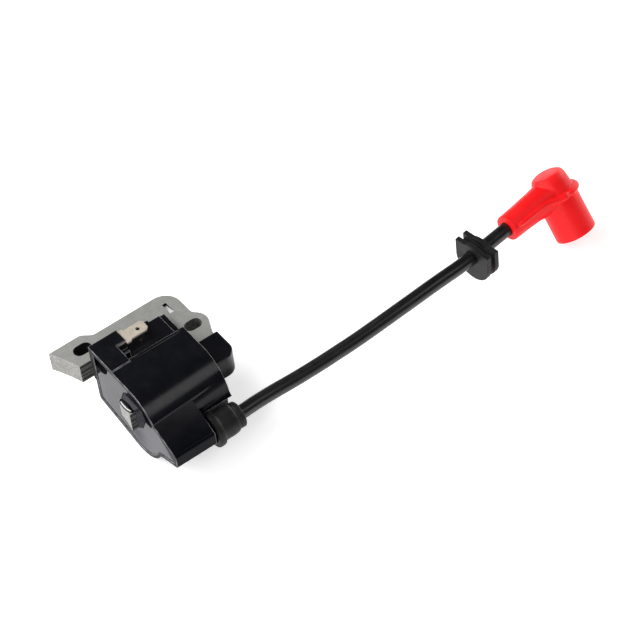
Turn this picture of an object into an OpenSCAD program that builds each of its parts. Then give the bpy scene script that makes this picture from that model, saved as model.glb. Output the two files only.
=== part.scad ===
// Ignition coil module for a small two-stroke engine: a U-shaped laminated core,
// a potted coil housing on its inner leg, and a high-tension lead with a panel
// grommet and a right-angle spark plug cap.
//
// Frame: +Y points away from the flywheel, +X from the bolt-on leg towards the
// lead tower, +Z up. The laminations lie flat, and the lowest point of the
// housing's barrel is at Z = 0.

/* [Laminated core] */
// Thickness of the lamination stack
core_h = 8; // [6:0.5:9]
// Width of the leg inside the coil
leg_w = 8; // [6:0.5:8]
// Radius of the flywheel rim that the pole faces follow
rotor_r = 57.5; // [54:0.5:60]
// Width of the two mounting slots
slot_w = 4.3; // [4:0.1:5]
// End-to-end length of the mounting slots
slot_len = 6.4; // [5.5:0.1:7]

/* [Housing] */
// Radius of the round barrel
barrel_r = 14.4; // [14:0.1:15]
// Wall thickness of the housing
wall = 1.5; // [1.2:0.1:1.8]
// Depth of the connector channel below the housing's top
channel_depth = 3.4; // [2:0.2:4]

/* [Kill terminal] */
// Width of the spade blade
tab_w = 4.8; // [4:0.1:5.2]
// Thickness of the spade blade
tab_t = 0.8; // [0.5:0.1:0.8]

/* [High-tension lead] */
// Outer diameter of the lead
lead_d = 5; // [4.5:0.1:5]
// Gap between the lead and what turns or slides on it
lead_gap = 0.06; // [0.04:0.01:0.1]

/* [Grommet] */
// Width of the grommet's flanges
grommet_w = 14.7; // [12:0.1:16]
// Thickness of each flange
flange_t = 1.8; // [1.4:0.1:2]
// Width of the panel groove between the flanges
groove_w = 1.9; // [1.2:0.1:2.2]

/* [Spark plug cap] */
// Bore that grips the spark plug's insulator
socket_bore_d = 10.4; // [10:0.1:10.6]
// Depth of that bore
socket_bore_len = 12; // [9:0.5:12]
// Outer diameter of the cap at its mouth
mouth_d = 14.6; // [13.8:0.1:15]
// Turn of the cap about the lead at rest, from straight down
cap_roll = 35; // [0:5:60]

/* [Hidden] */
$fn = 64;
eps = 0.01;

// Core, seen from above
core_z = 14.4;
core_top = core_z + core_h;
core_back_x = -27.1;
pole_back_x = -29.8;
outer_leg_in_x = -18.3;
yoke_y0 = 13.9;
yoke_y1 = 21.9;
yoke_corner_r = 6.5;
leg_cx = 5.5;
leg_cz = core_z + core_h / 2;
rotor_x = -2.2;
rotor_y = -75.1;
slot_front = [-24.1, -14.9];
slot_rear = [-9, 19.1];
ear_r = 5.2;

// Housing, seen from the front
front_y = -15.6;
rear_y = 13.5;
barrel_x = 6.5;
barrel_z = barrel_r;
body_top = 28.8;
block_top = 29.3;
left_x = -17.2;
pad_x = -18.2;
block_rear_y = -4.4;
notch_y = -8.1;
notch_x = -12.5;
channel_x = -5.4;
channel_z = body_top - channel_depth;
ledge_rear_y = 0;
tower_x = 23.5;
tower_z = 11;
tower_r = 4.2;
tower_end_y = 7.5;
tower_y0 = -11.8;
boot_relief_r = 6.5;
relief_wall = 1.2;
socket_y = -8;
potting_y = -12.6;
collar_y = -16.8;

// Windings
bobbin_wall = 0.6;
primary_half = leg_w / 2 + 0.15;
primary_t = 0.8;
coil_y0 = -11.4;
coil_y1 = 11;
secondary_r = 8.6;
chambers = 6;
divider_t = 0.7;

// Lead and what is on it
lead_r = lead_d / 2;
run_r = lead_r + lead_gap;
boot_end_y = 14;
elbow = [19.9, 149.6, 19.1];
cap_yaw = 8;
cap_dir = [-sin(cap_yaw), cos(cap_yaw), 0];
sleeve_len = 23.7;
sleeve_end_r = 4.7;
sleeve_root_r = 5.9;
socket_len = 17.2;
shoulder = 4.5;
crown_len = 6.6;
crown_r = 6.2;
rim_bead_r = 1.2;
rim_bead_drop = 1.7;
lead_end_from_elbow = 8;
grommet_from_elbow = 38.3;
grommet_top = 4;
grommet_drop = 2.5;
groove_depth = 1.5;
groove_top_depth = 0.7;

// Route of the free lead: the boot's end, the sag up to the cap, then straight
lead_bend = [
    [tower_x, boot_end_y, tower_z],
    [tower_x, boot_end_y + 1.5, tower_z],
    [23.3, 20, 11],
    [23.5, 27, 11.2],
    [24.2, 35, 11.7],
    [24.9, 43, 12.5],
    [25.5, 51, 13.5],
    [26, 59, 14.5],
    [26.3, 67, 15.6],
    [26.5, 75, 16.7],
    [26.55, 83, 17.6],
    [26.5, 91, 18.4],
    [26.47, 96, 18.8],
    [26.35, 101, 19]
];
lead_straight = [for (d = [44, 40, 30, 20, lead_end_from_elbow]) elbow - d * cap_dir];
lead_route = concat(lead_bend, lead_straight);

// ---------- helpers ----------

// A rectangle centred on the origin with round corners
module round_rect(w, h, r) {
    square([w - 2 * r, h], center = true);
    square([w, h - 2 * r], center = true);
    for (x = [-1, 1], z = [-1, 1])
        translate([x * (w / 2 - r), z * (h / 2 - r)]) circle(r);
}

// Extrudes each outline, drawn in X and Z, from y0 to y1
module along_y(y0, y1) {
    for (i = [0 : $children - 1])
        translate([0, y1, 0]) rotate([90, 0, 0]) linear_extrude(y1 - y0) children(i);
}

// A straight round rod between two points
module rod(a, b, r) {
    d = b - a;
    length = norm(d);
    translate(a)
        rotate([0, acos(d[2] / length), atan2(d[1], d[0])])
            cylinder(h = length, r = r);
}

// Extrudes each of its outlines upwards as a solid of its own
module plates(z0, z1) {
    for (i = [0 : $children - 1]) translate([0, 0, z0]) linear_extrude(z1 - z0) children(i);
}

// Places its children on the cap's axis, at a distance before the elbow,
// with local +Y along the lead
module on_lead(distance) {
    translate(elbow - distance * cap_dir) rotate([0, 0, cap_yaw]) children();
}

// ---------- core ----------

module slot_hole() {
    straight = slot_len - slot_w;
    square([slot_w, straight], center = true);
    for (s = [-1, 1]) translate([0, s * straight / 2]) circle(d = slot_w);
}

// The back edge swells out behind the front slot along one smooth half-wave
function pole_back(y0, y1, steps) = [
    for (i = [0 : steps])
        let (t = i / steps)
        [pole_back_x + (core_back_x - pole_back_x) * (1 - cos(180 * t)) / 2, y0 + (y1 - y0) * t]
];

module lamination_blank() {
    plates(core_z, core_top) {
        polygon(concat(
            [[outer_leg_in_x, -8], [outer_leg_in_x, -26], [pole_back_x, -26]],
            pole_back(-13, -8, 8)
        ));
        translate([core_back_x, -8.5])
            square([outer_leg_in_x - core_back_x, yoke_y1 - yoke_corner_r + 8.5]);
        intersection() {
            translate([core_back_x + yoke_corner_r, yoke_y1 - yoke_corner_r]) circle(yoke_corner_r);
            translate([core_back_x, yoke_y0]) square(yoke_corner_r + 1);
        }
        translate([core_back_x + yoke_corner_r, yoke_y0])
            square([leg_cx + leg_w / 2 - core_back_x - yoke_corner_r, yoke_y1 - yoke_y0]);
        translate([slot_rear[0], slot_rear[1] + 0.4]) circle(ear_r);
        polygon([[slot_rear[0], yoke_y0 + 1], [-6.6, 24.35], [0, 21.5], [0, yoke_y0 + 1]]);
        translate([leg_cx - leg_w / 2, -26]) square([leg_w, yoke_y0 + 27]);
    }
}

// Staked interlock that ties the sheets together: a ramp pressed into the top
module interlock() {
    translate([-22.8, 16.1, core_top])
        rotate([-90, 0, 0])
            linear_extrude(1.5)
                polygon([[0, -0.5], [4.8, -0.5], [4.8, 0], [0, 1.1]]);
}

module lamination_stack() {
    color("gray")
    difference() {
        lamination_blank();
        translate([rotor_x, rotor_y, core_z - 1]) cylinder(h = core_h + 2, r = rotor_r, $fn = 256);
        for (slot = [slot_front, slot_rear])
            plates(core_z - 1, core_top + 1) translate(slot) slot_hole();
        interlock();
    }
}

// ---------- housing ----------

module body(y0, y1) {
    along_y(y0, y1) {
        translate([barrel_x, barrel_z]) circle(barrel_r);
        polygon([
            [left_x, 5.7], [left_x, body_top], [barrel_x, body_top],
            [barrel_x, 0.5], [2, 0.9], [-15.9, 4.2]
        ]);
        translate([left_x + 1.5, 5.7]) circle(1.5);
    }
}

module ledge_outline() {
    polygon([
        [14, 22], [18.2, 22.6], [29.7, 17.3], [29.9, 16.9], [29.9, 12.2], [29.5, 11.8],
        [24.3, 10], [20.3, 8.4], [17.4, 6.4], [13, 3]
    ]);
}

// Inside of the barrel and of the electronics bay
module cavity(y0, y1) {
    along_y(y0, y1) {
        translate([barrel_x, barrel_z]) circle(barrel_r - wall);
        polygon([
            [left_x + wall, 6], [left_x + wall, channel_z - wall], [channel_x + wall, channel_z - wall],
            [channel_x + wall, body_top - wall], [barrel_x, body_top - wall],
            [barrel_x, 0.5 + wall], [-14.9, 5.6]
        ]);
    }
}

// Inside of the top block, in front of the channel
module block_cavity(y0, y1) {
    along_y(y0, y1)
        translate([left_x + wall, 20]) square([barrel_x - left_x - wall, body_top - wall - 20]);
}

// Inside of the ledge, which leads to the tower
module tower_cavity(y0, y1) {
    along_y(y0, y1)
        polygon([
            [12, 21], [18.5, 20.8], [20.3, 20.2], [28.4, 13],
            [24.3, 11.4], [20.3, 9.8], [12, 6]
        ]);
}

// Room for the boot round the tower, plus a margin of wall behind it
module boot_relief(y0, margin) {
    translate([tower_x, y0, tower_z])
        rotate([-90, 0, 0]) cylinder(h = rear_y + 1 - y0, r = boot_relief_r + margin);
}

module leg_opening() {
    translate([leg_cx, leg_cz]) square([leg_w + 0.2, core_h + 0.2], center = true);
}

module housing_shell() {
    body(front_y, rear_y);
    along_y(front_y, ledge_rear_y) ledge_outline();
    // pad that beds against the outer leg
    translate([pad_x, front_y, 13.6]) cube([2, 23, body_top - 13.6]);
    // raised top block with its stepped rear
    translate([pad_x, front_y, body_top - 4])
        cube([channel_x - pad_x + 1.2, notch_y - front_y, block_top - body_top + 4]);
    translate([pad_x, front_y, body_top - 4])
        cube([notch_x - pad_x, block_rear_y - front_y, block_top - body_top + 4]);
    tower();
}

module tower() {
    translate([tower_x, tower_y0, tower_z])
        rotate([-90, 0, 0]) cylinder(h = tower_end_y - tower_y0, r = tower_r);
}

module channel_cut() {
    translate([pad_x - 1, notch_y, channel_z])
        cube([channel_x - pad_x + 1, rear_y - notch_y + 1, 10]);
    translate([pad_x - 1, rear_y - 2, channel_z - 0.5])
        cube([channel_x - pad_x + 1, 3, 10]);
}

module tab_blade_path() {
    // embedded part of the terminal: flat in the block's roof, then down
    translate([-16.5, -8.8, body_top - tab_t]) cube([4, 8.8 + block_rear_y + eps, tab_t]);
    translate([-16.5, -8.8, 23.2]) cube([4, tab_t, body_top - 23.2]);
}

module housing() {
    color([0.07, 0.07, 0.09])
    difference() {
        union() {
            difference() {
                housing_shell();
                difference() {
                    channel_cut();
                    translate([pad_x - 2, front_y, channel_z - 1])
                        cube([notch_x - pad_x + 2, block_rear_y - front_y, 12]);
                }
            }
            // small fin behind the block
            translate([-9, notch_y - eps, channel_z - eps]) cube([0.8, 2.6, channel_depth - 0.4]);
        }
        difference() {
            cavity(front_y - 1, rear_y - wall);
            boot_relief(ledge_rear_y, relief_wall);
        }
        block_cavity(front_y - 1, notch_y - wall);
        tower_cavity(front_y - 1, -9.5);
        // scallop in the barrel's side that clears the boot
        difference() {
            boot_relief(1.2, 0);
            tower();
        }
        along_y(rear_y - 5, rear_y + 1) leg_opening();
        // bore for the lead's end and the contact pin
        translate([tower_x, socket_y - 2, tower_z])
            rotate([-90, 0, 0]) cylinder(h = tower_end_y - socket_y + 3, r = run_r);
        tab_blade_path();
    }
}

module half_moon_pocket() {
    translate([-13.3, body_top - wall]) circle(5.6);
}

// Long gap between the barrel's wall and the epoxy, cut straight on its inner side
module long_pocket() {
    intersection() {
        translate([barrel_x, barrel_z]) circle(barrel_r - wall - 0.4);
        polygon([[4.2, 25.5], [4.2, 30], [20, 26], [16, 19.2], [12.9, 19.2], [11.3, 23.3]]);
    }
}

module potting() {
    color([0.12, 0.12, 0.14])
    difference() {
        union() {
            cavity(front_y + 0.25, potting_y);
            block_cavity(front_y + 0.25, potting_y);
            tower_cavity(front_y + 0.25, potting_y);
            // collar that creeps up the leg
            along_y(collar_y, front_y + 0.3)
                translate([leg_cx, leg_cz]) round_rect(leg_w + 2.4, core_h + 2.4, 1.2);
        }
        along_y(collar_y - 1, potting_y + 1) leg_opening();
        along_y(front_y - 1, potting_y - 0.8) {
            half_moon_pocket();
            long_pocket();
        }
    }
}

module yoke_cover() {
    x0 = -0.9;
    x1 = 11;
    y1 = 23.2;
    r = 4.6;
    z1 = core_top + 1;
    z0 = core_z - 0.2;
    color([0.07, 0.07, 0.09])
    difference() {
        translate([0, 0, z0]) linear_extrude(z1 - z0) {
            translate([x0, rear_y]) square([x1 - x0 - r, y1 - rear_y]);
            translate([x0, rear_y]) square([x1 - x0, y1 - rear_y - r]);
            translate([x1 - r, y1 - r]) circle(r);
        }
        translate([x0 - 1, rear_y - 1, z0 - 1])
            cube([leg_cx + leg_w / 2 + 0.05 - x0 + 1, yoke_y1 + 0.05 - rear_y + 1, core_h + 1.25]);
    }
}

module kill_terminal() {
    blade_x = -14.5;
    tip_y = 4.7;
    z = body_top - tab_t;
    color([0.78, 0.74, 0.68]) {
        difference() {
            translate([0, 0, z]) linear_extrude(tab_t) polygon([
                [blade_x - 3.1, block_rear_y], [blade_x - 3.1, -2.7], [blade_x - tab_w / 2, -2.5],
                [blade_x - tab_w / 2, tip_y - 1], [blade_x - tab_w / 2 + 1, tip_y],
                [blade_x + tab_w / 2 - 1, tip_y], [blade_x + tab_w / 2, tip_y - 1],
                [blade_x + tab_w / 2, -2.5], [blade_x + 3.1, -2.7], [blade_x + 3.1, block_rear_y]
            ]);
            translate([blade_x, 1.6, z - 1]) cylinder(h = 3, d = 1.5);
        }
        tab_blade_path();
    }
}

// ---------- windings ----------

module on_leg(y0, y1) {
    along_y(y0, y1) translate([leg_cx, leg_cz]) children();
}

module primary_bobbin() {
    tube = 2 * (primary_half + bobbin_wall);
    color("ivory")
    difference() {
        union() {
            on_leg(coil_y0, coil_y1) round_rect(tube, tube, 0.8);
            for (y = [coil_y0, coil_y1 - 0.8])
                on_leg(y, y + 0.8) round_rect(tube + 2 * primary_t, tube + 2 * primary_t, 1.6);
        }
        on_leg(coil_y0 - 1, coil_y1 + 1) square([2 * primary_half, core_h + 0.3], center = true);
    }
}

module primary_winding() {
    tube = 2 * (primary_half + bobbin_wall);
    outer = tube + 2 * primary_t - 0.1;
    color("peru")
    difference() {
        on_leg(coil_y0 + 0.8, coil_y1 - 0.8) round_rect(outer, outer, 1.6);
        on_leg(coil_y0, coil_y1) round_rect(tube, tube, 0.8);
    }
}

secondary_in = 2 * (primary_half + bobbin_wall + primary_t) + 0.2;
secondary_tube = secondary_in + 2 * bobbin_wall;
secondary_y0 = coil_y0 + 0.4;
secondary_y1 = coil_y1 - 0.4;
chamber_pitch = (secondary_y1 - secondary_y0 - divider_t) / chambers;

module secondary_bobbin() {
    color("wheat")
    difference() {
        union() {
            on_leg(secondary_y0, secondary_y1) round_rect(secondary_tube, secondary_tube, 2.2);
            for (i = [0 : chambers])
                on_leg(secondary_y0 + i * chamber_pitch, secondary_y0 + i * chamber_pitch + divider_t)
                    circle(secondary_r);
        }
        on_leg(coil_y0 - 1, coil_y1 + 1) round_rect(secondary_in, secondary_in, 1.7);
    }
}

module secondary_winding() {
    color("chocolate")
    for (i = [0 : chambers - 1])
        difference() {
            on_leg(secondary_y0 + i * chamber_pitch + divider_t, secondary_y0 + (i + 1) * chamber_pitch)
                circle(secondary_r - 0.3);
            on_leg(coil_y0 - 1, coil_y1 + 1) round_rect(secondary_tube, secondary_tube, 2.2);
        }
}

// ---------- electronics in the bay beside the coil ----------

board_x = -14.6;
board_t = 1.2;
board_face = board_x + board_t;

module circuit_board() {
    color("darkgreen")
    difference() {
        translate([board_x, -11, 7.5]) cube([board_t, 21, 15.5]);
        for (y = [-9.5, 8.5], z = [9, 21.5])
            translate([board_x - 1, y, z]) rotate([0, 90, 0]) cylinder(h = 4, d = 1);
    }
}

module power_transistor() {
    color([0.1, 0.1, 0.1]) translate([board_face, -9, 8.5]) cube([4, 8.5, 7.5]);
    color("silver") {
        translate([board_face, -9, 16]) cube([1.2, 8.5, 4.6]);
        for (i = [-1 : 1])
            translate([board_face, -5.1 + i * 2.2, 7.6]) cube([0.7, 0.7, 0.9]);
    }
}

module driver_transistor() {
    color([0.1, 0.1, 0.1])
    translate([board_face, 3.2, 19.4])
        rotate([0, 90, 0])
            difference() {
                cylinder(h = 4.4, r = 2.3);
                translate([1.3, -3, -1]) cube([3, 6, 7]);
            }
}

module axial_part(y0, y1, z, body_r, lead_r, body_share) {
    middle = (y0 + y1) / 2;
    half = (y1 - y0) / 2 * body_share;
    x = board_face + body_r + 0.1;
    rod([x, middle - half, z], [x, middle + half, z], body_r);
    for (end = [y0, y1]) {
        rod([x, end, z], [x, middle, z], lead_r);
        rod([board_face, end, z], [x + lead_r, end, z], lead_r);
    }
}

module resistors() {
    color("tan")
    for (z = [9.2, 11.8, 14.4]) axial_part(1, 8.4, z, 0.95, 0.25, 0.6);
}

module diode() {
    color([0.15, 0.15, 0.15]) axial_part(-9, -1.6, 21.9, 0.85, 0.25, 0.55);
}

module capacitor() {
    color("darkorange")
    translate([board_face, 7.6, 19.9]) rotate([0, 90, 0]) plates(0, 4.6) round_rect(4.4, 3.6, 0.9);
}

// Strip that earths the board on the core's inner leg, behind the windings
module ground_strap() {
    color("silver") {
        translate([board_face, 9, 15]) cube([0.4, 2.6, 2.2]);
        translate([board_face, coil_y1 + 0.2, 15]) cube([leg_cx - leg_w / 2 - board_face, 0.4, 2.2]);
    }
}

module primary_leads() {
    color("peru") {
        tube([[board_face, -10.4, 12], [-10, -11.5, 12.6], [-5, -11.8, 14], [0.8, -11.8, 16]], 0.35, 8);
        tube([[board_face, -10.4, 18], [-10, -11.5, 19], [-5, -11.8, 20], [0.8, -11.8, 20.6]], 0.35, 8);
    }
}

// ---------- high-tension outlet ----------

module contact_pin() {
    color("gold")
    translate([tower_x, 0, tower_z]) rotate([-90, 0, 0]) {
        translate([0, 0, socket_y - 1.6]) cylinder(h = 0.8, r = 1.9);
        translate([0, 0, socket_y - 1]) cylinder(h = 5, r = 0.7);
        translate([0, 0, socket_y + 4]) cylinder(h = 1.6, r1 = 0.7, r2 = 0.1);
    }
}

module ht_link() {
    color("peru")
    tube([
        [13.4, coil_y0 - 0.1, 15.6], [17, -11.6, 14.6], [20.4, -11.4, 12.8],
        [tower_x - 0.8, socket_y - 2.6, tower_z + 0.2]
    ], 0.4, 8);
}

module lead_tail() {
    color([0.08, 0.08, 0.08])
    translate([tower_x, socket_y + 1.5, tower_z])
        rotate([-90, 0, 0])
            difference() {
                cylinder(h = boot_end_y - socket_y - 1.5, r = lead_r);
                translate([0, 0, -1]) cylinder(h = boot_end_y - socket_y + 2, r = 0.75);
            }
}

module tail_core() {
    color("peru")
    translate([tower_x, socket_y + 6, tower_z])
        rotate([-90, 0, 0]) cylinder(h = boot_end_y - socket_y - 6, r = 0.75);
}

// Seal boot: a bead round the tower, a tapering barrel, a neck and an end ring
module lead_boot() {
    y0 = 1.6;
    color([0.1, 0.1, 0.1])
    translate([tower_x, 0, tower_z]) rotate([-90, 0, 0])
        rotate_extrude()
            difference() {
                union() {
                    translate([0, y0]) square([6.1, 2.8]);
                    translate([5.7, y0 + 0.6]) circle(0.6);
                    translate([5.7, y0 + 2.2]) circle(0.6);
                    translate([0, y0 + 0.6]) square([6.3, 1.6]);
                    polygon([[0, 4], [5.5, 4.2], [5.2, 8.5], [4.9, 10.2], [4.4, 10.8], [0, 10.8]]);
                    translate([0, 10.5]) square([4.1, 1.4]);
                    translate([0, 11.7]) square([4.5, boot_end_y - 11.9]);
                    translate([0, boot_end_y - 0.3]) square([4.2, 0.3]);
                }
                translate([-1, y0 - 1]) square([1 + run_r, 20]);
                translate([-1, y0 - 1]) square([1 + tower_r + lead_gap, tower_end_y - y0 + 1]);
                translate([-10, 0]) square([10, 20]);
            }
}

// ---------- free lead ----------

function unit(v) = v / norm(v);

// Direction of the route at point i: the mean of its neighbouring stretches
function heading(p, i) =
    i == 0 ? unit(p[1] - p[0])
    : i == len(p) - 1 ? unit(p[i] - p[i - 1])
    : unit(unit(p[i] - p[i - 1]) + unit(p[i + 1] - p[i]));

// A ring of points square to the route, kept upright so that the tube doesn't twist
function ring(p, i, r, sides) =
    let (
        t = heading(p, i),
        side = unit(cross(t, [0, 0, 1])),
        up = cross(side, t)
    )
    [for (k = [0 : sides - 1]) p[i] + r * (cos(360 * k / sides) * side + sin(360 * k / sides) * up)];

module tube(p, r, sides) {
    n = len(p);
    points = [for (i = [0 : n - 1]) each ring(p, i, r, sides)];
    walls = [
        for (i = [0 : n - 2], k = [0 : sides - 1])
            let (a = i * sides, b = (k + 1) % sides)
            [a + k, a + b, a + sides + b, a + sides + k]
    ];
    first = [for (k = [sides - 1 : -1 : 0]) k];
    last = [for (k = [0 : sides - 1]) (n - 1) * sides + k];
    polyhedron(points, concat([first], walls, [last]), convexity = 4);
}

module ht_lead() {
    color([0.08, 0.08, 0.08]) tube(lead_route, lead_r, 12);
}

// ---------- grommet ----------

// D-shaped plate round the lead: flat top, round bottom hanging below the lead
module plate_outline(inset, top_inset) {
    w = grommet_w / 2 - inset;
    translate([0, -grommet_drop]) circle(w);
    translate([-w, -grommet_drop]) square([2 * w, grommet_drop + grommet_top - top_inset]);
}

module grommet() {
    thick = 2 * flange_t + groove_w;
    color([0.12, 0.12, 0.12])
    on_lead(grommet_from_elbow)
        difference() {
            union() {
                along_y(-thick / 2, -groove_w / 2) plate_outline(0, 0);
                along_y(groove_w / 2, thick / 2) plate_outline(0, 0);
                along_y(-thick / 2, thick / 2) plate_outline(groove_depth, groove_top_depth);
            }
            rotate([-90, 0, 0]) translate([0, 0, -thick]) cylinder(h = 2 * thick, r = run_r);
        }
}

// ---------- spark plug cap ----------

// Local frame of the cap: origin at the elbow, +Y from the lead into the cap,
// -Z towards the mouth
module on_cap() {
    on_lead(0) rotate([0, -cap_roll, 0]) children();
}

module cap_body() {
    rotate([90, 0, 0]) {
        cylinder(h = sleeve_len - 0.8, r1 = sleeve_root_r, r2 = sleeve_end_r);
        translate([0, 0, sleeve_len - 0.9]) cylinder(h = 0.9, r1 = sleeve_end_r, r2 = sleeve_end_r - 0.6);
    }
    translate([0, 0, -socket_len]) cylinder(h = socket_len - shoulder + eps, r = mouth_d / 2);
    translate([0, 0, -shoulder]) cylinder(h = shoulder + crown_len - 1.3, r1 = mouth_d / 2, r2 = crown_r);
    translate([0, 0, crown_len - 1.3 - eps]) cylinder(h = 1.3, r1 = crown_r, r2 = crown_r - 1.6);
    // raised bead round the socket and along both sides of the sleeve
    translate([0, 0, -rim_bead_drop])
        rotate_extrude() translate([mouth_d / 2 + 0.1, 0]) circle(rim_bead_r, $fn = 32);
    for (s = [-1, 1])
        tube([
            [s * 4.4, 2 - sleeve_len, 0], [s * 5, -12.5, 0], [s * 5.3, -9.8, -0.15],
            [s * 5.7, -7.4, -0.6], [s * 6.2, -5, -1.2], [s * 6.7, -2.6, -1.6], [s * 7.1, -1, -rim_bead_drop]
        ], rim_bead_r, 10);
}

module plug_cap() {
    color([0.9, 0.1, 0.12])
    on_cap()
        difference() {
            cap_body();
            translate([0, 0, -socket_len - 1]) cylinder(h = socket_bore_len + 1, d = socket_bore_d);
            translate([0, 0, -socket_len]) cylinder(h = socket_len + 2.2, r = 4.2);
            rotate([90, 0, 0]) cylinder(h = sleeve_len + 1, r = run_r);
        }
}

// Points of the clip spring: turns round the plug's terminal nut
function spring_points(turns, r, z0, z1, steps) = [
    for (i = [0 : turns * steps])
        let (t = i / (turns * steps))
        [r * cos(360 * i / steps), r * sin(360 * i / steps), z0 + (z1 - z0) * t]
];

module cap_spring() {
    color("silver")
    on_cap() {
        tube(concat(
            spring_points(4, 3.5, -4.6, 0.9, 18),
            // the wire's tail, bent in to meet the lead's core
            [[3.2, 1.2, 1.2], [1.6, 1.6, 1.1], [0.4, 0.4, 0.4], [0, -1.5, 0], [0, -5.4, 0]]
        ), 0.45, 8);
    }
}

// Conductor that stands out of the lead's end inside the cap
module cap_core() {
    color("peru")
    on_cap() rotate([90, 0, 0]) translate([0, 0, lead_end_from_elbow - 2.4]) cylinder(h = 2.4, r = 0.7);
}

lamination_stack();
housing();
potting();
yoke_cover();
kill_terminal();
primary_bobbin();
primary_winding();
secondary_bobbin();
secondary_winding();
circuit_board();
power_transistor();
driver_transistor();
resistors();
diode();
capacitor();
ground_strap();
primary_leads();
ht_link();
contact_pin();
lead_tail();
tail_core();
lead_boot();
ht_lead();
grommet();
plug_cap();
cap_spring();
cap_core();
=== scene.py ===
import math
import random

import bmesh
import bpy
from mathutils import Matrix, Quaternion, Vector
from mathutils.geometry import tessellate_polygon


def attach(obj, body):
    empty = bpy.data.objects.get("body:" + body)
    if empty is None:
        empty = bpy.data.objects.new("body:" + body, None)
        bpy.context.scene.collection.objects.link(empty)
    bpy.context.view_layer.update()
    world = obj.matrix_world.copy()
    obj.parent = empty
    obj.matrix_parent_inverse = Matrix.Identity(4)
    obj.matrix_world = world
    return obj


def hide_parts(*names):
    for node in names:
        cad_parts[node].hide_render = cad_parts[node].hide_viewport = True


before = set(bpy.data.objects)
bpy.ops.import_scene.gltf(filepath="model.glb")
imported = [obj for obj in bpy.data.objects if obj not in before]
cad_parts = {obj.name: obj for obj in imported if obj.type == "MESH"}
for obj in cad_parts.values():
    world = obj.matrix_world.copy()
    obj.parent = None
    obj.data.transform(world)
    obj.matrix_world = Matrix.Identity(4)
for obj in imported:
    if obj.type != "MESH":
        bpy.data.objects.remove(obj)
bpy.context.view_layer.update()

MM = 0.001
random.seed(11)


# ---------- camera ----------

def make_camera():
    """The photograph's view: a long lens from the front right, rolled a little."""
    data = bpy.data.cameras.new("camera")
    data.lens = 151.9
    data.sensor_width = 36.0
    data.clip_start, data.clip_end = 0.05, 10.0
    cam = bpy.data.objects.new("camera", data)
    bpy.context.collection.objects.link(cam)
    cam.location = Vector((519.63, -254.10, 686.41)) * MM
    target = Vector((7.65, 57.84, 10.0)) * MM
    aim = (target - cam.location).to_track_quat("-Z", "Y")
    cam.rotation_mode = "QUATERNION"
    cam.rotation_quaternion = aim @ Quaternion((0, 0, 1), math.radians(-7.15))
    bpy.context.scene.camera = cam


make_camera()


# ---------- mesh helpers ----------

def new_object(name, mesh):
    obj = bpy.data.objects.new(name, mesh)
    bpy.context.collection.objects.link(obj)
    return obj


def mesh_from(name, verts, faces):
    mesh = bpy.data.meshes.new(name)
    mesh.from_pydata([tuple(Vector(v) * MM) for v in verts], [], faces)
    mesh.validate()
    return new_object(name, mesh)


def apply_modifiers(obj):
    depsgraph = bpy.context.evaluated_depsgraph_get()
    mesh = bpy.data.meshes.new_from_object(obj.evaluated_get(depsgraph))
    obj.modifiers.clear()
    obj.data = mesh
    return obj


def outward(obj):
    """Turns every face outwards."""
    bm = bmesh.new()
    bm.from_mesh(obj.data)
    bmesh.ops.recalc_face_normals(bm, faces=bm.faces)
    bm.to_mesh(obj.data)
    bm.free()


def smooth(obj, degrees):
    """Smooth shading, broken at edges sharper than the angle."""
    for poly in obj.data.polygons:
        poly.use_smooth = True
    obj.data.set_sharp_from_angle(angle=math.radians(degrees))


def copy_of(node, name, weld_mm=0.002):
    """A cleaned copy of a CAD node's mesh: welded, and flat regions joined into one face each."""
    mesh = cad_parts[node].data.copy()
    obj = new_object(name, mesh)
    bm = bmesh.new()
    bm.from_mesh(mesh)
    bmesh.ops.remove_doubles(bm, verts=bm.verts, dist=weld_mm * MM)
    bmesh.ops.dissolve_degenerate(bm, edges=bm.edges, dist=weld_mm * MM)
    bmesh.ops.dissolve_limit(bm, angle_limit=math.radians(0.6), verts=bm.verts, edges=bm.edges)
    bmesh.ops.recalc_face_normals(bm, faces=bm.faces)
    bm.to_mesh(mesh)
    bm.free()
    mesh.materials.clear()
    return obj


def bevelled(obj, width_mm, angle=32, segments=3, edge=None, face=None):
    """Rounds the sharp edges; with an edge material, the rounded strips get it as the second one."""
    if edge:
        obj.data.materials.append(face)
        obj.data.materials.append(edge)
    mod = obj.modifiers.new("bevel", "BEVEL")
    mod.width = width_mm * MM
    mod.segments = segments
    mod.limit_method = "ANGLE"
    mod.angle_limit = math.radians(angle)
    mod.use_clamp_overlap = False
    mod.material = 1 if edge else -1
    mod.miter_outer = "MITER_ARC"
    apply_modifiers(obj)
    smooth(obj, 40)
    mod = obj.modifiers.new("normals", "WEIGHTED_NORMAL")
    mod.mode = "FACE_AREA"
    mod.keep_sharp = True
    return apply_modifiers(obj)


def settle(obj, body, material, nodes=()):
    """Gives a piece its body and material, and hides the CAD nodes it stands for."""
    if not obj.data.materials:
        obj.data.materials.append(material)
    if nodes:
        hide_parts(*nodes)
    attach(obj, body)
    return obj


def axis_matrix(origin_mm, direction):
    """Local +Z along the direction, origin at the point."""
    turn = Vector(direction).to_track_quat("Z", "Y").to_matrix().to_4x4()
    return Matrix.Translation(Vector(origin_mm) * MM) @ turn


def lathe(name, profile, matrix, segments=96):
    """Turns a closed profile of (radius, height) points in mm about the matrix's Z axis."""
    verts, faces = [], []
    n = len(profile)
    for s in range(segments):
        a = 2 * math.pi * s / segments
        verts += [(r * math.cos(a), r * math.sin(a), h) for r, h in profile]
    for s in range(segments):
        t = (s + 1) % segments
        for i in range(n):
            j = (i + 1) % n
            faces.append((s * n + i, t * n + i, t * n + j, s * n + j))
    obj = mesh_from(name, verts, faces)
    obj.data.transform(matrix)
    outward(obj)
    return obj


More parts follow.
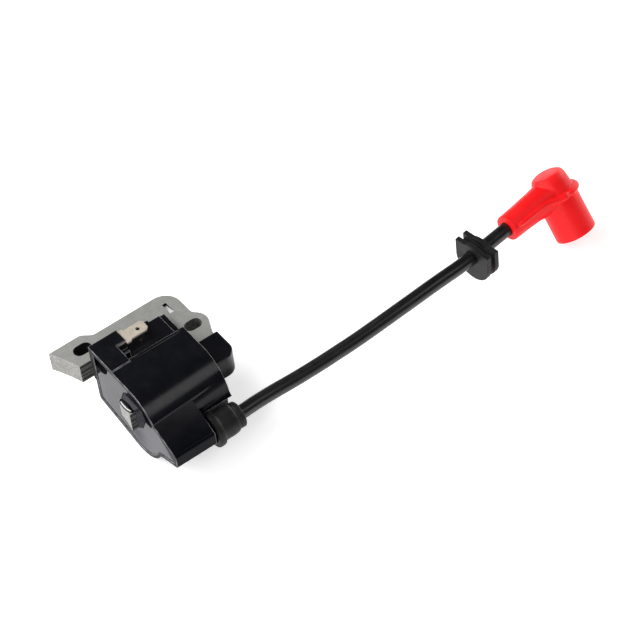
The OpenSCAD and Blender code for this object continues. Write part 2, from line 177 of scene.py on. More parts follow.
def rounded(points, radius, steps=4):
    """A closed 2-D outline with each corner turned into an arc; radius may differ per corner."""
    out = []
    n = len(points)
    for i in range(n):
        p, a, b = Vector(points[i]), Vector(points[i - 1]), Vector(points[(i + 1) % n])
        r = radius[i] if isinstance(radius, (list, tuple)) else radius
        u, v = (a - p), (b - p)
        lu, lv = u.length, v.length
        u.normalize()
        v.normalize()
        angle = u.angle(v)
        if r <= 0 or angle > math.radians(179):
            out.append(tuple(p))
            continue
        cut = min(r / math.tan(angle / 2), 0.48 * lu, 0.48 * lv)
        r = cut * math.tan(angle / 2)
        centre = p + (u + v).normalized() * (r / math.sin(angle / 2))
        start, end = p + u * cut - centre, p + v * cut - centre
        sweep = start.angle_signed(end, 0.0)
        for k in range(steps + 1):
            t = -sweep * k / steps
            c, s = math.cos(t), math.sin(t)
            out.append((centre.x + start.x * c - start.y * s, centre.y + start.x * s + start.y * c))
    return out


def circle(count):
    """Cosine and sine at evenly spaced angles of a full turn."""
    angles = [2 * math.pi * k / count for k in range(count)]
    return [(math.cos(a), math.sin(a)) for a in angles]


def close_rings(bm, rings):
    """Joins rings of vertices, one after the other, and caps both ends."""
    sides = len(rings[0])
    for a, b in zip(rings, rings[1:]):
        for k in range(sides):
            bm.faces.new((a[k], a[(k + 1) % sides], b[(k + 1) % sides], b[k]))
    bm.faces.new(rings[0][::-1])
    bm.faces.new(rings[-1])


def tube_along(bm, points, radius, sides=14):
    """A round tube through the points, drawn in a little at its two ends."""
    rings = []
    for i, p in enumerate(points):
        a, b = points[max(i - 1, 0)], points[min(i + 1, len(points) - 1)]
        t = (b - a).normalized()
        side = t.cross(Vector((0, 0, 1))).normalized()
        up = side.cross(t)
        r = radius if 0 < i < len(points) - 1 else radius * 0.55
        rings.append([bm.verts.new((p + r * (c * side + s * up)) * MM) for c, s in circle(sides)])
    close_rings(bm, rings)


def revolved(bm, profile, axis, sides=72):
    """A closed solid of revolution: profile of (radius, height), its ends on the axis."""
    turn = Vector(axis).to_track_quat("Z", "Y").to_matrix()
    close_rings(bm, [
        [bm.verts.new(turn @ Vector((r * c, r * s, h)) * MM) for c, s in circle(sides)]
        for r, h in profile
    ])


def solid(name, build):
    """A new object whose mesh the function builds."""
    bm = bmesh.new()
    build(bm)
    bmesh.ops.recalc_face_normals(bm, faces=bm.faces)
    mesh = bpy.data.meshes.new(name)
    bm.to_mesh(mesh)
    bm.free()
    return new_object(name, mesh)


def cut(obj, cutter):
    """Takes the cutter away from the object, and removes the cutter."""
    mod = obj.modifiers.new("cut", "BOOLEAN")
    mod.operation = "DIFFERENCE"
    mod.solver = "EXACT"
    mod.object = cutter
    apply_modifiers(obj)
    bpy.data.objects.remove(cutter)


# ---------- materials ----------

class Nodes:
    """A short way to write a Principled material with object-space detail."""

    def __init__(self, name):
        self.material = bpy.data.materials.new(name)
        self.material.use_nodes = True
        self.tree = self.material.node_tree
        self.shader = self.tree.nodes["Principled BSDF"]
        self.coords = self.tree.nodes.new("ShaderNodeTexCoord").outputs["Object"]

    def put(self, kind, **values):
        node = self.tree.nodes.new(kind)
        for key, value in values.items():
            setattr(node, key, value)
        return node

    def link(self, a, b):
        self.tree.links.new(a, b)

    def mapping(self, scale=(1, 1, 1), rotation=(0, 0, 0)):
        node = self.put("ShaderNodeMapping")
        node.inputs["Scale"].default_value = scale
        node.inputs["Rotation"].default_value = rotation
        self.link(self.coords, node.inputs["Vector"])
        return node.outputs["Vector"]

    def noise(self, scale, detail=3.0, rough=0.55, vector=None):
        node = self.put("ShaderNodeTexNoise")
        node.inputs["Scale"].default_value = scale
        node.inputs["Detail"].default_value = detail
        node.inputs["Roughness"].default_value = rough
        self.link(vector or self.coords, node.inputs["Vector"])
        return node.outputs["Fac"]

    def along(self, axis, start_mm, end_mm):
        """0 to 1 between two places on an axis."""
        split = self.put("ShaderNodeSeparateXYZ")
        self.link(self.coords, split.inputs["Vector"])
        node = self.put("ShaderNodeMapRange")
        node.inputs["From Min"].default_value = start_mm * MM
        node.inputs["From Max"].default_value = end_mm * MM
        self.link(split.outputs[axis], node.inputs["Value"])
        return node.outputs["Result"]

    def around(self, centre_mm, reach_mm):
        """0 at a place, rising to 1 at a distance from it."""
        far = self.put("ShaderNodeVectorMath", operation="DISTANCE")
        far.inputs[1].default_value = Vector(centre_mm) * MM
        self.link(self.coords, far.inputs[0])
        node = self.put("ShaderNodeMapRange", interpolation_type="SMOOTHSTEP")
        node.inputs["From Max"].default_value = reach_mm * MM
        self.link(far.outputs["Value"], node.inputs["Value"])
        return node.outputs["Result"]

    def ramp(self, source, stops, interpolation="LINEAR"):
        node = self.put("ShaderNodeValToRGB")
        ramp = node.color_ramp
        ramp.interpolation = interpolation
        while len(ramp.elements) < len(stops):
            ramp.elements.new(0.5)
        for element, (place, colour) in zip(ramp.elements, stops):
            element.position = place
            element.color = (*colour, 1) if isinstance(colour, tuple) else (colour,) * 3 + (1,)
        self.link(source, node.inputs["Fac"])
        return node.outputs["Color"]

    def bump(self, source, strength, distance_mm, normal=None):
        node = self.put("ShaderNodeBump")
        node.inputs["Strength"].default_value = strength
        node.inputs["Distance"].default_value = distance_mm * MM
        self.link(source, node.inputs["Height"])
        if normal:
            self.link(normal, node.inputs["Normal"])
        return node.outputs["Normal"]

    def set(self, **values):
        for key, value in values.items():
            self.shader.inputs[key.replace("_", " ")].default_value = value

    def feed(self, socket, output):
        self.link(output, self.shader.inputs[socket])


def moulded(name, dark, light, rough, bump_mm=0.012, grain=900, level=0.5, cloud=140, fade=None):
    """Moulded plastic or rubber: slow tone changes, patchy gloss and a fine skin texture.

    With fade, a band of heights in mm, the gloss dies away from its top to its bottom.
    """
    m = Nodes(name)
    m.feed("Base Color", m.ramp(m.noise(cloud, 3), [(0.35, dark), (0.68, light)]))
    m.feed("Roughness", m.ramp(m.noise(260, 4, 0.6), [(0.32, rough[0]), (0.7, rough[1])]))
    wide = m.bump(m.noise(90, 2), 0.25, bump_mm * 6)
    m.feed("Normal", m.bump(m.noise(grain * 1000 / 300, 3, 0.6), 0.3, bump_mm, wide))
    m.set(IOR=1.5, Specular_IOR_Level=level)
    if fade:
        m.feed("Specular IOR Level", m.ramp(m.along("Z", *fade), [(0.0, 0.06), (1.0, level)]))
    return m.material


def cast_resin(name):
    """Cast epoxy, dullest below the leg and glossier towards its edges."""
    m = Nodes(name)
    tones = [(0.35, (0.002, 0.002, 0.005)), (0.68, (0.035, 0.035, 0.046))]
    m.feed("Base Color", m.ramp(m.noise(45, 3), tones))
    m.feed("Roughness", m.ramp(m.noise(260, 4, 0.6), [(0.32, 0.13), (0.7, 0.19)]))
    m.feed("Specular IOR Level", m.ramp(m.around((4.5, -16.5, 7.0), 11.5), [(0.0, 0.025), (1.0, 0.14)]))
    wide = m.bump(m.noise(90, 2), 0.25, 0.03)
    m.feed("Normal", m.bump(m.noise(1000, 3, 0.6), 0.3, 0.005, wide))
    m.set(IOR=1.5)
    return m.material


def sheet_steel(name):
    m = Nodes(name)
    tone = m.ramp(m.noise(420, 5, 0.65), [(0.3, (0.265, 0.265, 0.25)), (0.7, (0.32, 0.32, 0.303))])
    m.feed("Base Color", tone)
    m.feed("Roughness", m.ramp(m.noise(800, 4), [(0.3, 0.5), (0.7, 0.64)]))
    grain = m.noise(700, 3, 0.6, m.mapping(scale=(0.15, 3.0, 1.0)))
    m.feed("Normal", m.bump(grain, 0.25, 0.03))
    m.set(Metallic=0.3)
    return m.material


def sheet_edges(name, shade):
    """The punched edges of the sheets: speckled, duller and rougher than their faces. Shade scales every tone;
    far below 1 it gives a near-black copy that is painted shade.
    """
    m = Nodes(name)
    speck = m.noise(2600, 4, 0.7, m.mapping(scale=(0.5, 0.5, 1.0)))
    tones = [(0.34, (0.14, 0.14, 0.135)), (0.5, (0.30, 0.295, 0.28)), (0.66, (0.44, 0.43, 0.41))]
    shaded = [(place, tuple(c * shade for c in tone)) for place, tone in tones]
    m.feed("Base Color", m.ramp(speck, shaded))
    m.feed("Roughness", m.ramp(speck, [(0.3, 0.75), (0.7, 0.55)]))
    m.feed("Normal", m.bump(speck, 0.6, 0.06))
    m.set(Metallic=0.25)
    return m.material


def bare_metal(name, dark, light, metallic=0.35, rough=(0.36, 0.52), scratch=(4, 0.3, 1)):
    m = Nodes(name)
    m.feed("Base Color", m.ramp(m.noise(500, 4), [(0.3, dark), (0.7, light)]))
    m.feed("Roughness", m.ramp(m.noise(900, 4), [(0.3, rough[0]), (0.7, rough[1])]))
    m.feed("Normal", m.bump(m.noise(600, 3, 0.6, m.mapping(scale=scratch)), 0.2, 0.02))
    m.set(Metallic=metallic)
    return m.material


def wound_wire(name, pitch_mm):
    """Enamelled wire laid in turns square to Y."""
    m = Nodes(name)
    turns = m.put("ShaderNodeTexWave", bands_direction="Y", wave_profile="SIN")
    turns.inputs["Scale"].default_value = 1 / (pitch_mm * MM) / 20 * 2 * math.pi
    turns.inputs["Distortion"].default_value = 0.4
    m.link(m.coords, turns.inputs["Vector"])
    # The tones follow the turns' bump: darker copper in the grooves between turns is painted shade, and lighter
    # copper on their crowns is painted highlight.
    tones = [(0.1, (0.22, 0.075, 0.03)), (0.6, (0.58, 0.24, 0.1))]
    m.feed("Base Color", m.ramp(turns.outputs["Fac"], tones))
    m.feed("Roughness", m.ramp(m.noise(600, 3), [(0.3, 0.25), (0.7, 0.42)]))
    m.feed("Normal", m.bump(turns.outputs["Fac"], 0.8, 0.12))
    m.set(Metallic=0.6)
    return m.material


def banded(name, y0, y1):
    """A tan resistor body with colour rings across its length."""
    m = Nodes(name)
    wire, tan = (0.55, 0.53, 0.5), (0.5, 0.35, 0.19)
    brown, black, red = (0.2, 0.08, 0.03), (0.01, 0.01, 0.01), (0.6, 0.05, 0.03)
    rings = [
        (0.0, wire), (0.22, tan), (0.32, brown), (0.38, tan), (0.46, black), (0.52, tan),
        (0.62, red), (0.68, tan), (0.8, wire),
    ]
    m.feed("Base Color", m.ramp(m.along("Y", y0, y1), rings, "CONSTANT"))
    m.feed("Roughness", m.ramp(m.noise(700, 3), [(0.3, 0.35), (0.7, 0.5)]))
    m.feed("Normal", m.bump(m.noise(500, 3), 0.3, 0.02))
    return m.material


def printed_board(name):
    """Green laminate with lighter tracks under the mask."""
    m = Nodes(name)
    tracks = m.put("ShaderNodeTexBrick")
    tracks.inputs["Scale"].default_value = 160
    tracks.inputs["Color1"].default_value = (0.02, 0.13, 0.05, 1)
    tracks.inputs["Color2"].default_value = (0.025, 0.16, 0.06, 1)
    tracks.inputs["Mortar"].default_value = (0.07, 0.28, 0.1, 1)
    tracks.inputs["Mortar Size"].default_value = 0.06
    m.link(m.mapping(rotation=(0, math.pi / 2, 0)), tracks.inputs["Vector"])
    m.feed("Base Color", tracks.outputs["Color"])
    m.feed("Roughness", m.ramp(m.noise(600, 3), [(0.3, 0.3), (0.7, 0.45)]))
    m.feed("Normal", m.bump(tracks.outputs["Fac"], 0.4, 0.03))
    return m.material


def painted_shade_black(name):
    """Near-black, dull and rough: painted shade on the floor and walls of an unfilled pocket, and in slots and
    recesses.
    """
    m = Nodes(name)
    tones = [(0.3, (0.002, 0.002, 0.002)), (0.7, (0.005, 0.005, 0.006))]
    m.feed("Base Color", m.ramp(m.noise(300, 3), tones))
    m.feed("Normal", m.bump(m.noise(400, 3), 0.4, 0.05))
    m.set(Roughness=0.9, Specular_IOR_Level=0.15)
    return m.material


# moulded: dark and light tone, roughness range, skin depth in mm
HOUSING = moulded(
    "housing_gloss", (0.0014, 0.0016, 0.003), (0.0032, 0.0035, 0.0055), (0.17, 0.25), 0.005, fade=(17, 24.5))
# Lighter tones for the housing's rounded edges: real scuffing, and painted highlight along the rims.
WEAR_AND_HIGHLIGHT = moulded("edge_wear_and_highlight", (0.02, 0.02, 0.023), (0.24, 0.24, 0.25), (0.3, 0.5), 0.01, cloud=400)
RIM = moulded("trimmed_rim", (0.002, 0.002, 0.0025), (0.006, 0.006, 0.007), (0.6, 0.8), 0.03)
RESIN = cast_resin("resin")
# Painted shade: the front slot, the interlock's deep end and the resin's pockets.
SHADE_BLACK = painted_shade_black("painted_shade_black")
BOOT = moulded("boot_skin", (0.005, 0.005, 0.005), (0.015, 0.015, 0.0148), (0.4, 0.55), 0.03, 500, level=0.22)
LEAD = moulded("lead_skin", (0.002, 0.002, 0.0022), (0.005, 0.005, 0.0053), (0.26, 0.36), 0.006, 500, level=0.6)
RED = moulded("red_skin", (0.92, 0.007, 0.01), (0.97, 0.012, 0.015), (0.34, 0.46), 0.01, 500, level=0.25)
STEEL = sheet_steel("sheet_steel")
EDGES = sheet_edges("sheet_edges", 1.0)
# A near-black copy of the sheet edges: painted shade on the legs' sides that face +X and on the rear slot's
# walls.
PAINTED_SHADE_EDGES = sheet_edges("painted_shade_edges", 0.07)
# A light metal that paints highlights: the interlock's ramp face and the crescent glint at the resin lip.
HIGHLIGHT_METAL = bare_metal("painted_highlight_metal", (0.6, 0.6, 0.58), (0.8, 0.8, 0.78), 0.15)
TIN = bare_metal("tinned", (0.50, 0.44, 0.365), (0.61, 0.55, 0.46))
SPRING = bare_metal("spring_wire", (0.5, 0.5, 0.5), (0.66, 0.66, 0.66), 0.8, (0.22, 0.35), (1, 1, 6))
COPPER = bare_metal("bare_copper", (0.5, 0.22, 0.11), (0.64, 0.3, 0.15), 0.8, (0.25, 0.4), (1, 1, 1))
BRASS = bare_metal("turned_brass", (0.52, 0.38, 0.14), (0.66, 0.5, 0.2), 0.8, (0.2, 0.35), (3, 0.3, 3))
FINE_TURNS = wound_wire("fine_turns", 0.16)
THICK_TURNS = wound_wire("thick_turns", 0.45)
BOBBIN = moulded("natural_nylon", (0.55, 0.49, 0.37), (0.66, 0.6, 0.47), (0.4, 0.55), 0.02, 400)
PACKAGE = moulded("package_black", (0.012, 0.012, 0.012), (0.022, 0.022, 0.022), (0.55, 0.7), 0.03, 900)
LACQUER = moulded("orange_lacquer", (0.5, 0.16, 0.03), (0.62, 0.22, 0.05), (0.3, 0.42), 0.03, 300)
RESISTOR = banded("resistor_bands", 1.0, 8.4)
BOARD = printed_board("printed_board")

# ---------- the free lead ----------

LEAD_R = 2.5
YAW, ROLL = math.radians(8), math.radians(-35)
ALONG = Vector((-math.sin(YAW), math.cos(YAW), 0))
ELBOW = Vector((19.9, 149.6, 19.1))
EXIT = (23.5, 14.0, 11.0)
BEND = [
    EXIT, (23.5, 15.5, 11), (23.3, 20, 11), (23.5, 27, 11.2), (24.2, 35, 11.7), (24.9, 43, 12.5),
    (25.5, 51, 13.5), (26, 59, 14.5), (26.3, 67, 15.6), (26.5, 75, 16.7), (26.55, 83, 17.6),
    (26.5, 91, 18.4), (26.47, 96, 18.8), (26.35, 101, 19),
]
ROUTE = [Vector(p) for p in BEND] + [ELBOW - d * ALONG for d in (44, 40, 30, 20, 8)]


def catmull(points, steps):
    """A smooth line through the points, with so many steps between each two."""
    out = []
    for i in range(len(points) - 1):
        p0 = points[max(i - 1, 0)]
        p1, p2 = points[i], points[i + 1]
        p3 = points[min(i + 2, len(points) - 1)]
        for k in range(steps):
            t = k / steps
            out.append(0.5 * (2 * p1 + (p2 - p0) * t + (2 * p0 - 5 * p1 + 4 * p2 - p3) * t * t
                              + (3 * p1 - p0 - 3 * p2 + p3) * t ** 3))
    out.append(points[-1])
    return out


def make_lead():
    """The cord piece and its length in metres."""
    line = catmull(ROUTE, 5)
    curve = bpy.data.curves.new("lead", "CURVE")
    curve.dimensions = "3D"
    curve.bevel_depth = LEAD_R * MM
    curve.bevel_resolution = 10
    curve.use_fill_caps = True
    spline = curve.splines.new("POLY")
    spline.points.add(len(line) - 1)
    for point, place in zip(spline.points, line):
        point.co = (*(place * MM), 1)
    spline.use_smooth = True
    obj = bpy.data.objects.new("lead", curve)
    bpy.context.collection.objects.link(obj)
    curve.materials.append(LEAD)
    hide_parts("ht_lead")
    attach(obj, "root")
    length = sum((b - a).length for a, b in zip(line, line[1:])) * MM
    return obj, length


lead, lead_length = make_lead()

# ---------- core ----------

SHEETS = 16
CORE_Z, CORE_TOP = 14.4, 22.4
LEG_X, LEG_OUTER_X = 9.5, -18.3
FRONT_SLOT, REAR_SLOT = (-24.1, -14.9), (-9, 19.1)
ROTOR = Vector((-2.2, -75.1))
ROTOR_R = 57.5


def rotor_arc(x0, x1, steps):
    """Points of the pole face, which follows the flywheel's rim."""
    out = []
    for k in range(steps + 1):
        x = x0 + (x1 - x0) * k / steps
        out.append((x, ROTOR.y + math.sqrt(ROTOR_R ** 2 - (x - ROTOR.x) ** 2)))
    return out


def arc(cx, cy, r, a0, a1, steps):
    return [
        (cx + r * math.cos(math.radians(a0 + (a1 - a0) * k / steps)),
         cy + r * math.sin(math.radians(a0 + (a1 - a0) * k / steps)))
        for k in range(steps + 1)
    ]


def core_outline():
    """The U of the core, seen from above, with both poles on the rotor's arc."""
    swell = []
    for k in range(9):
        t = k / 8
        swell.append((-27.1 + (-29.8 + 27.1) * (1 - math.cos(math.pi * t)) / 2, -8 - 5 * t))
    points = rotor_arc(-29.8, -18.3, 8)
    points += [(-18.3, 13.9), (1.5, 13.9)]
    points += rotor_arc(1.5, 9.5, 6)
    points += arc(8.5, 20.9, 1.0, 0, 90, 5)
    points += [(0, 21.9), (-2.4, 22.3)]
    points += arc(-9, 19.5, 5.2, 64, 142, 16)
    points += [(-14.2, 22.0), (-15.2, 21.9)]
    points += arc(-20.6, 15.4, 6.5, 90, 180, 16)
    points += swell
    return points


def slot_outline(x, y, width=4.3, length=6.4):
    """A round-ended screw slot along Y."""
    r, s = width / 2, (length - width) / 2
    return arc(x, y + s, r, 0, 180, 14) + arc(x, y - s, r, 180, 360, 14)


def inset(loop, d):
    """Moves a loop's points towards its left side by d."""
    out = []
    n = len(loop)
    for i in range(n):
        a, p, b = Vector(loop[i - 1]), Vector(loop[i]), Vector(loop[(i + 1) % n])
        u, v = (p - a).normalized(), (b - p).normalized()
        side = Vector((-u.y - v.y, u.x + v.x))
        if side.length < 1e-6:
            out.append(tuple(p))
            continue
        side.normalize()
        grow = max(0.5, side.dot(Vector((-u.y, u.x))))
        out.append(tuple(p + side * (d / grow)))
    return out


def make_core():
    """Stacked sheets, each with its own small step at the edge, two slots and a staked interlock."""
    pitch = (CORE_TOP - CORE_Z) / SHEETS
    outer = core_outline()
    area = sum(a[0] * b[1] - b[0] * a[1] for a, b in zip(outer, outer[1:] + outer[:1]))
    if area < 0:
        outer.reverse()
    loops = [outer] + [slot_outline(*place)[::-1] for place in (FRONT_SLOT, REAR_SLOT)]
    levels = []
    for k in range(SHEETS):
        z = CORE_Z + k * pitch
        jitter = random.uniform(0.0, 0.035)
        low = 0.11 if k == 0 else 0.07
        levels += [(z, low), (z + 0.05, jitter), (z + pitch - 0.09, jitter)]
    levels.append((CORE_TOP, 0.14))
    verts, faces, top = [], [], []
    outer_faces = 0
    for loop in loops:
        n = len(loop)
        base = len(verts)
        for z, d in levels:
            verts += [(x, y, z) for x, y in inset(loop, d)]
        for j in range(len(levels) - 1):
            for i in range(n):
                a, b = base + j * n + i, base + j * n + (i + 1) % n
                faces.append((a, b, b + n, a + n))
        top.append((base, n))
        outer_faces = outer_faces or len(faces)
    side_count = len(faces)
    slot_faces = range(outer_faces, side_count)
    # stamped interlock in the top sheet: a ramp that is deep at its -X end
    x0, x1, y0, y1, drop = -22.8, -18.0, 16.1, 17.6, 1.1
    ramp = [(x0, y0), (x0, y1), (x1, y1), (x1, y0)]
    base = len(verts)
    verts += [(x, y, CORE_TOP) for x, y in ramp]
    verts += [(x0 + 0.1, y0 + 0.05, CORE_TOP - drop), (x0 + 0.1, y1 - 0.05, CORE_TOP - drop)]
    a, b, c, d, a2, b2 = range(base, base + 6)
    faces += [(a, a2, b2, b), (a2, d, c, b2), (a, d, a2), (b, b2, c)]
    ramp_faces = range(side_count, side_count + 4)
    for end, extra in ((0, []), (len(levels) - 1, [(base, 4)])):
        rings = [[start + end * n + i for i in range(n)] for start, n in top]
        rings += [[start + i for i in range(n)] for start, n in extra]
        order = [v for ring in rings for v in ring]
        tris = tessellate_polygon([[Vector((*verts[v][:2], 0)) for v in ring] for ring in rings])
        faces += [tuple(order[i] for i in tri) for tri in tris]
    obj = mesh_from("core", verts, faces)
    outward(obj)
    settle(obj, "root", STEEL, ["lamination_stack"])
    for material in (EDGES, PAINTED_SHADE_EDGES, HIGHLIGHT_METAL, SHADE_BLACK):
        obj.data.materials.append(material)
    steel, edges, shade_edges, highlight, dark = range(5)
    for i, poly in enumerate(obj.data.polygons):
        leg_side = min(abs(poly.center.x - side * MM) for side in (LEG_X, LEG_OUTER_X)) < 0.3 * MM
        look = steel
        # the interlock's ramp face gets a painted highlight; its deep end and side walls get near-black painted
        # shade
        if i in ramp_faces:
            look = highlight if i == side_count + 1 else dark
        # the front slot's walls get near-black painted shade
        elif i in slot_faces and poly.center.y < 0:
            look = dark
        # the rear slot's walls get painted shade, and the chamfers between its sheets get the plain edges
        elif i in slot_faces:
            look = edges if abs(poly.normal.z) > 0.25 else shade_edges
        # the legs' sides that face +X get painted shade, and all other sides get the plain punched edges
        elif abs(poly.normal.z) < 0.5:
            look = shade_edges if poly.normal.x > 0.6 and leg_side else edges
        poly.material_index = look
    smooth(obj, 25)
    return obj


make_core()

# ---------- housing, epoxy, cover, terminal ----------

BARREL = Vector((6.5, 14.4))
BARREL_R, WALL = 14.4, 1.5
BARREL_FRONT, BARREL_LENGTH = -15.6, 29.1
DRAFT, DRAFT_SHIFT = 1.2, 0.5
TOWER = Vector((23.5, 11))
LEG = Vector((5.5, 18.4))
LEDGE_CORNER = Vector((29.9, 17.208))
SCALLOP_R = 6.4


def taper_barrel(obj):
    """Moulding draft: the barrel's right side narrows towards the rear; its top and bottom stay level."""
    for vert in obj.data.vertices:
        x, y, z = vert.co / MM
        place = Vector((x, z)) - BARREL
        for radius in (BARREL_R, BARREL_R - WALL):
            if x > 3 and abs(place.length - radius) < 0.06:
                t = min(max((y - BARREL_FRONT) / BARREL_LENGTH, 0), 1)
                if place.y < 0:
                    t *= (max(place.x, 0) / radius) ** 2
                out = BARREL + place.normalized() * (radius - DRAFT * t)
                vert.co = Vector((out.x - DRAFT_SHIFT * t, y, out.y + DRAFT * t)) * MM


def across(vert):
    """A vertex's X and Z in mm, as the housing's cross-section shows it."""
    return Vector((vert.co.x, vert.co.z)) / MM


def round_ledge(obj):
    """The ledge's outer top edge is moulded with a larger radius than the rest."""
    bm = bmesh.new()
    bm.from_mesh(obj.data)
    chamfer = (Vector((29.7, 17.3)), Vector((29.9, 16.9)))
    corner = []
    for vert in bm.verts:
        if min((across(vert) - end).length for end in chamfer) < 0.06:
            vert.co = Vector((LEDGE_CORNER.x * MM, vert.co.y, LEDGE_CORNER.y * MM))
            corner.append(vert)
    bmesh.ops.remove_doubles(bm, verts=corner, dist=0.01 * MM)
    edges = [e for e in bm.edges if all((across(v) - LEDGE_CORNER).length < 0.01 for v in e.verts)]
    bmesh.ops.bevel(bm, geom=edges, offset=0.9 * MM, segments=6, profile=0.5, affect="EDGES")
    bm.to_mesh(obj.data)
    bm.free()


def make_housing():
    """The moulded case; its front rim and the scallop beside the boot are trimmed and duller."""
    obj = copy_of("housing", "housing_shell", 0.1)
    round_ledge(obj)
    taper_barrel(obj)
    # the rounded edge strips get edge wear and painted highlight
    bevelled(obj, 0.2, edge=WEAR_AND_HIGHLIGHT, face=HOUSING)
    settle(obj, "root", HOUSING, ["housing"])
    obj.data.materials.append(RIM)
    for poly in obj.data.polygons:
        centre = poly.center / MM
        front_rim = poly.normal.y < -0.95 and centre.y < -15.5
        from_tower = (Vector((centre.x, centre.z)) - TOWER).length
        beside_boot = abs(from_tower - SCALLOP_R) < 0.35 and centre.y > 1.2
        if poly.material_index == 0 and (front_rim or beside_boot):
            poly.material_index = 2
    return obj


make_housing()

cover = bevelled(copy_of("yoke_cover", "yoke_cover_shell"), 0.5)
settle(cover, "root", HOUSING, ["yoke_cover"])


def make_resin():
    """The cast face; its collar thins out towards the pole, as resin does where it wets the steel."""
    obj = copy_of("potting", "epoxy_face")
    for vert in obj.data.vertices:
        y = vert.co.y
        from_leg = across(vert) - LEG
        if y < -16.7 * MM and max(abs(from_leg.x), abs(from_leg.y)) > 4.3:
            place = (LEG + from_leg * 0.82) * MM
            vert.co = Vector((place.x, y, place.y))
    bevelled(obj, 0.15)
    settle(obj, "root", RESIN, ["potting"])
    obj.data.materials.append(SHADE_BLACK)
    # faces behind the cast face, the pocket walls, get near-black painted shade
    for poly in obj.data.polygons:
        if poly.center.y > -15.2 * MM:
            poly.material_index = 1


make_resin()


def make_ridge():
    """Rounded bead that closes the channel on the barrel's side."""
    line = [Vector((-4.5, y, 28.35)) for y in (-8.4, -4, 0, 4, 8, 12.4)]
    obj = solid("channel_ridge", lambda bm: tube_along(bm, line, 0.9, 24))
    smooth(obj, 50)
    return settle(obj, "root", HOUSING)


def make_lip():
    """Resin that has run up over the leg's top and set in a smooth hump, glossier than the cast face."""
    def hump(bm):
        bmesh.ops.create_uvsphere(bm, u_segments=48, v_segments=24, radius=1)
        place = Matrix.Translation(Vector((5.6, -17.3, 22.35)) * MM)
        half_axes = Matrix.Diagonal((3.9 * MM, 1.35 * MM, 0.62 * MM, 1))
        bmesh.ops.transform(bm, matrix=place @ half_axes, verts=bm.verts)

    obj = solid("resin_lip", hump)
    smooth(obj, 60)
    return settle(obj, "root", HOUSING)


def make_glint():
    """A painted highlight: a thin bright tube that shows as a bright crescent under the resin lip."""
    angles = [math.radians(d) for d in range(-55, 76, 10)]
    middle, half_width, bow = Vector((5.6, -17.35, 22.72)), Vector((3.1, 0, 0)), Vector((0, -0.75, 0.1))
    line = [middle + half_width * math.sin(a) + bow * math.cos(a) for a in angles]
    obj = solid("painted_glint", lambda bm: tube_along(bm, line, 0.2, 12))
    smooth(obj, 60)
    return settle(obj, "root", HIGHLIGHT_METAL)


tab = bevelled(copy_of("kill_terminal", "spade_tab"), 0.12, segments=2)
settle(tab, "root", TIN, ["kill_terminal"])

make_glint()
make_ridge()
make_lip()

# ---------- boot on the tower ----------

def make_boot():
    """Seal boot with two beads: its profile as radius and distance along the tower."""
    outer = [
        (4.26, 1.6), (6.0, 1.6), (6.3, 2.0), (6.3, 3.4), (6.1, 4.0), (5.5, 4.5), (5.35, 5.2),
        (5.35, 8.2), (5.15, 9.9), (4.9, 10.5), (4.55, 10.8), (4.45, 11.1), (4.65, 11.5),
        (4.65, 12.9), (4.3, 13.3), (2.56, 13.3), (2.56, 7.5), (4.26, 7.5),
    ]
    obj = lathe("tower_boot", rounded(outer, 0.35, 3), axis_matrix((TOWER.x, 0, TOWER.y), (0, 1, 0)))
    smooth(obj, 50)
    return settle(obj, "root", BOOT, ["lead_boot"])


make_boot()

# ---------- grommet ----------

grommet = bevelled(copy_of("grommet", "panel_grommet"), 0.16)
settle(grommet, "grommet", BOOT, ["grommet"])

# ---------- cap ----------

CAP = (
    Matrix.Translation(ELBOW * MM)
    @ Matrix.Rotation(YAW, 4, "Z")
    @ Matrix.Rotation(ROLL, 4, "Y")
)


def make_cap():
    """The rubber moulding: sleeve, elbow fillet, socket, rim bead and side lines, melted into one skin."""
    def shapes(bm):
        sleeve = [
            (4.2, 23.7), (4.6, 23.55), (4.7, 23.1), (4.85, 17), (5.2, 10), (5.6, 4.7), (6.2, 0.5), (6.0, -1),
        ]
        revolved(bm, sleeve, (0, -1, 0))
        revolved(bm, [(2.8, 15.5), (4.75, 9.5), (5.9, 3.2), (6.0, 0)], (0, -1, -0.1))
        socket = [
            (7.1, -17.2), (7.3, -17.0), (7.3, -4.5), (6.86, 0), (6.3, 4.6), (5.7, 5.9), (4.6, 6.5), (2.5, 6.6),
        ]
        revolved(bm, socket, (0, 0, 1))
        turns = [math.radians(a) for a in range(0, 370, 10)]
        tube_along(bm, [Vector((7.45 * math.cos(a), 7.45 * math.sin(a), -1.5)) for a in turns], 1.2)
        for s in (-1, 1):
            tube_along(bm, catmull([Vector(p) for p in (
                (s * 4.75, -21.7, 0), (s * 5.15, -12.5, 0.1), (s * 5.35, -9.8, 0.0), (s * 5.65, -7.4, -0.3),
                (s * 6.1, -5.2, -0.8), (s * 6.75, -3, -1.25), (s * 7.35, -1, -1.5),
            )], 4), 0.95)

    obj = solid("plug_cap_body", shapes)
    mod = obj.modifiers.new("remesh", "REMESH")
    mod.mode = "VOXEL"
    mod.voxel_size = 0.19 * MM
    mod = obj.modifiers.new("soften", "SMOOTH")
    mod.factor = 0.5
    mod.iterations = 1
    apply_modifiers(obj)

    def bores(bm):
        revolved(bm, [(5.2, -18.5), (5.2, -5.2), (4.2, -5.15), (4.2, 2.2)], (0, 0, 1))

    def sleeve_bore(bm):
        revolved(bm, [(2.56, 25), (2.56, 0)], (0, -1, 0))

    cut(obj, solid("bores", bores))
    cut(obj, solid("sleeve_bore", sleeve_bore))
    obj.data.transform(CAP)
    outward(obj)
    smooth(obj, 45)
    return settle(obj, "cap", RED, ["plug_cap"])


cap = make_cap()

# ---------- CAD nodes that stay ----------

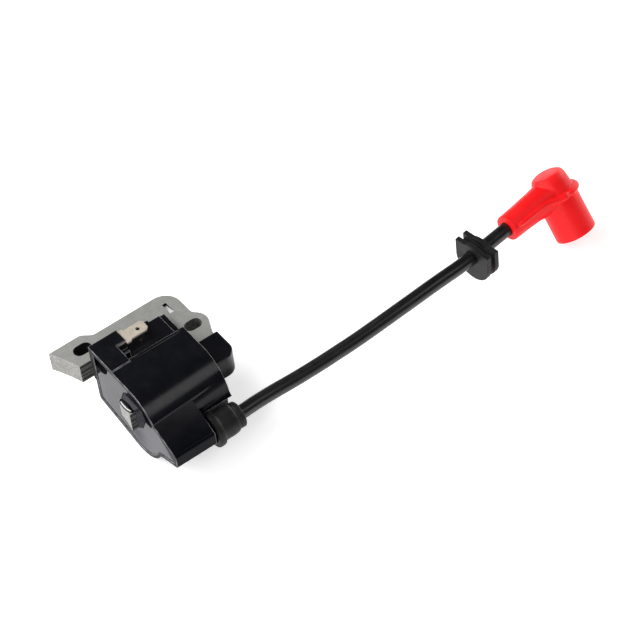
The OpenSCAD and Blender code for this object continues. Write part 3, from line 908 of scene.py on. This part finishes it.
KEPT = {
    "primary_bobbin": BOBBIN, "secondary_bobbin": BOBBIN,
    "primary_winding": THICK_TURNS, "secondary_winding": FINE_TURNS,
    "circuit_board": BOARD, "power_transistor": PACKAGE, "driver_transistor": PACKAGE, "diode": PACKAGE,
    "resistors": RESISTOR, "capacitor": LACQUER, "ground_strap": TIN, "primary_leads": COPPER,
    "ht_link": COPPER, "contact_pin": BRASS, "lead_tail": LEAD, "tail_core": COPPER,
    "cap_spring": SPRING, "cap_core": COPPER,
}
for node, material in KEPT.items():
    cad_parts[node].data.materials.clear()
    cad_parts[node].data.materials.append(material)


# ---------- floor and light ----------

def make_stage():
    """A pale floor that shows soft shadows, and a faint even sky."""
    bpy.ops.mesh.primitive_plane_add(size=6, location=(0, 0, 0))
    floor = bpy.context.object
    floor.name = "floor"
    m = Nodes("floor")
    m.feed("Base Color", m.ramp(m.noise(30, 2), [(0.3, (0.88, 0.88, 0.88)), (0.7, (0.9, 0.9, 0.9))]))
    m.set(Roughness=0.9, Specular_IOR_Level=0.1, Emission_Color=(1, 1, 1, 1), Emission_Strength=0.52)
    floor.data.materials.append(m.material)
    world = bpy.data.worlds.new("studio")
    bpy.context.scene.world = world
    world.use_nodes = True
    world.node_tree.nodes["Background"].inputs["Color"].default_value = (1, 1, 1, 1)
    world.node_tree.nodes["Background"].inputs["Strength"].default_value = 0.07


def area_light(name, direction, size, radiance, distance=0.9):
    """A soft box that faces the object from a direction, given by how bright its face looks."""
    data = bpy.data.lights.new(name, "AREA")
    data.shape = "RECTANGLE"
    data.size, data.size_y = size
    data.energy = radiance * math.pi * size[0] * size[1]
    obj = bpy.data.objects.new(name, data)
    bpy.context.collection.objects.link(obj)
    target = Vector((0, 0.06, 0))
    obj.location = target + Vector(direction).normalized() * distance
    obj.rotation_euler = (target - obj.location).to_track_quat("-Z", "Y").to_euler()


make_stage()
area_light("key", (-0.55, -0.45, 0.70), (0.7, 0.7), 5.0)
area_light("front", (0.10, -0.75, 0.65), (0.7, 0.5), 3.0)
area_light("fill", (0.75, -0.60, 0.35), (0.6, 0.4), 2.6)
area_light("side", (0.52, 0.30, 0.80), (0.30, 0.42), 1.3)
area_light("back", (-0.20, 0.95, 0.25), (1.2, 0.25), 5.0)
area_light("crescent", (0.17, 0.82, 0.53), (0.3, 0.2), 4.0)
bpy.context.scene.view_settings.view_transform = "Standard"
